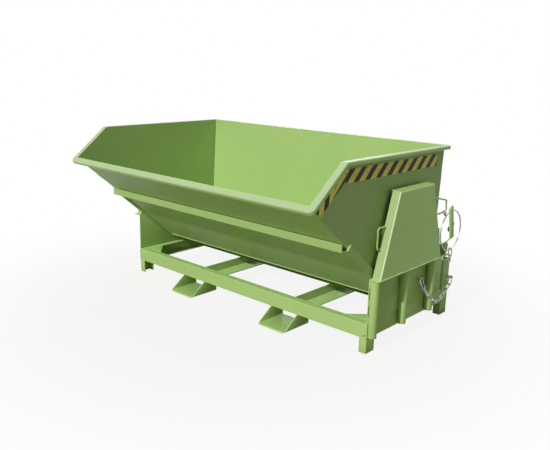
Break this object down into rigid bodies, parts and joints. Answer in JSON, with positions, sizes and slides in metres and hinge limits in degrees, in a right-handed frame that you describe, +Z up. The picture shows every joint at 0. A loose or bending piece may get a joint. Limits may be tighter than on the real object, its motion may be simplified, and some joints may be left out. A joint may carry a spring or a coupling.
{
  "type": "tipping hopper",
  "caption": "Steel tipping trough with a sloping front, pivoted on end stands of a channel frame with fork pockets, with a lock lever, pull ring and safety chain.",
  "frame": {"origin": "centre of the bounding box, on the ground", "axes": "+X along the trough towards the lever end, +Y from the low front lip to the back, +Z up"},
  "size_m": [2.143, 1.5228, 1.0732],
  "materials": {
    "green_paint": "satin light green paint",
    "galvanised": "zinc coated",
    "bare_steel": "turned, greased",
    "black_rubber": "matt",
    "hazard_tape": "yellow with black slanted stripes"
  },
  "bodies": {
    "base": {"bearing_plates": "green_paint", "chain_hook": "green_paint", "chain_staple": "green_paint", "corner_gussets": "green_paint", "front_rail": "green_paint", "left_base_plate": "green_paint", "left_end_panel": "green_paint", "left_fork_angle": "green_paint", "left_front_fork_loop": "green_paint", "left_front_leg": "green_paint", "left_panel_tubes": "green_paint", "left_rear_fork_loop": "green_paint", "left_rear_leg": "green_paint", "left_side_rail": "green_paint", "left_stand": "green_paint", "left_stand_loops": "green_paint", "lever_lug": "green_paint", "pivot_bushes": "bare_steel", "rear_rail": "green_paint", "rest_brackets": "green_paint", "rest_buffers": "black_rubber", "right_base_plate": "green_paint", "right_end_panel": "green_paint", "right_fork_angle": "green_paint", "right_front_fork_loop": "green_paint", "right_front_leg": "green_paint", "right_panel_tubes": "green_paint", "right_rear_fork_loop": "green_paint", "right_rear_leg": "green_paint", "right_side_rail": "green_paint", "right_stand": "green_paint", "right_stand_loops": "green_paint", "safety_chain": "galvanised", "snap_hook": "galvanised"},
    "trough": {"back_wall": "green_paint", "bottom_plate": "green_paint", "slope_wall": "green_paint", "left_end_wall": "green_paint", "right_end_wall": "green_paint", "front_rim": "green_paint", "back_rim": "green_paint", "left_rim": "green_paint", "right_rim": "green_paint", "slope_stiffener": "green_paint", "bottom_edge_angle": "green_paint", "left_slope_strip": "green_paint", "right_slope_strip": "green_paint", "left_trunnion": "green_paint", "right_trunnion": "green_paint", "pivot_washers": "bare_steel", "left_hazard_tape": "hazard_tape", "right_hazard_tape": "hazard_tape", "catch_stud": "bare_steel"},
    "lock_lever": {"lock_lever": "green_paint", "lock_shaft": "bare_steel", "latch_hook": "green_paint", "lever_peg": "black_rubber"},
    "pull_ring": {"pull_ring": "galvanised", "ring_chain": "galvanised"},
    "snap_gate": {"snap_gate": "galvanised"}
  },
  "joints": [
    {"name": "trough_tip", "type": "hinge", "parent": "base", "child": "trough", "pos_m": [-0.0135, -0.07056, 0.65], "axis": [1, 0, 0], "range_deg": [0, 75]},
    {"name": "lever_turn", "type": "hinge", "parent": "base", "child": "lock_lever", "pos_m": [1.0035, 0.48744, 0.447], "axis": [1, 0, 0], "range_deg": [0, 22]},
    {"name": "ring_swing", "type": "hinge", "parent": "base", "child": "pull_ring", "pos_m": [1.0305, 0.43544, 0.694], "axis": [0, -1, 0], "range_deg": [0, 30]},
    {"name": "gate_swing", "type": "hinge", "parent": "base", "child": "snap_gate", "pos_m": [1.0125, 0.29094, 0.27964], "axis": [1, 0, 0], "range_deg": [0, 25], "stiffness_Nm_per_rad": 0.05, "springref_deg": -11.46}
  ]
}
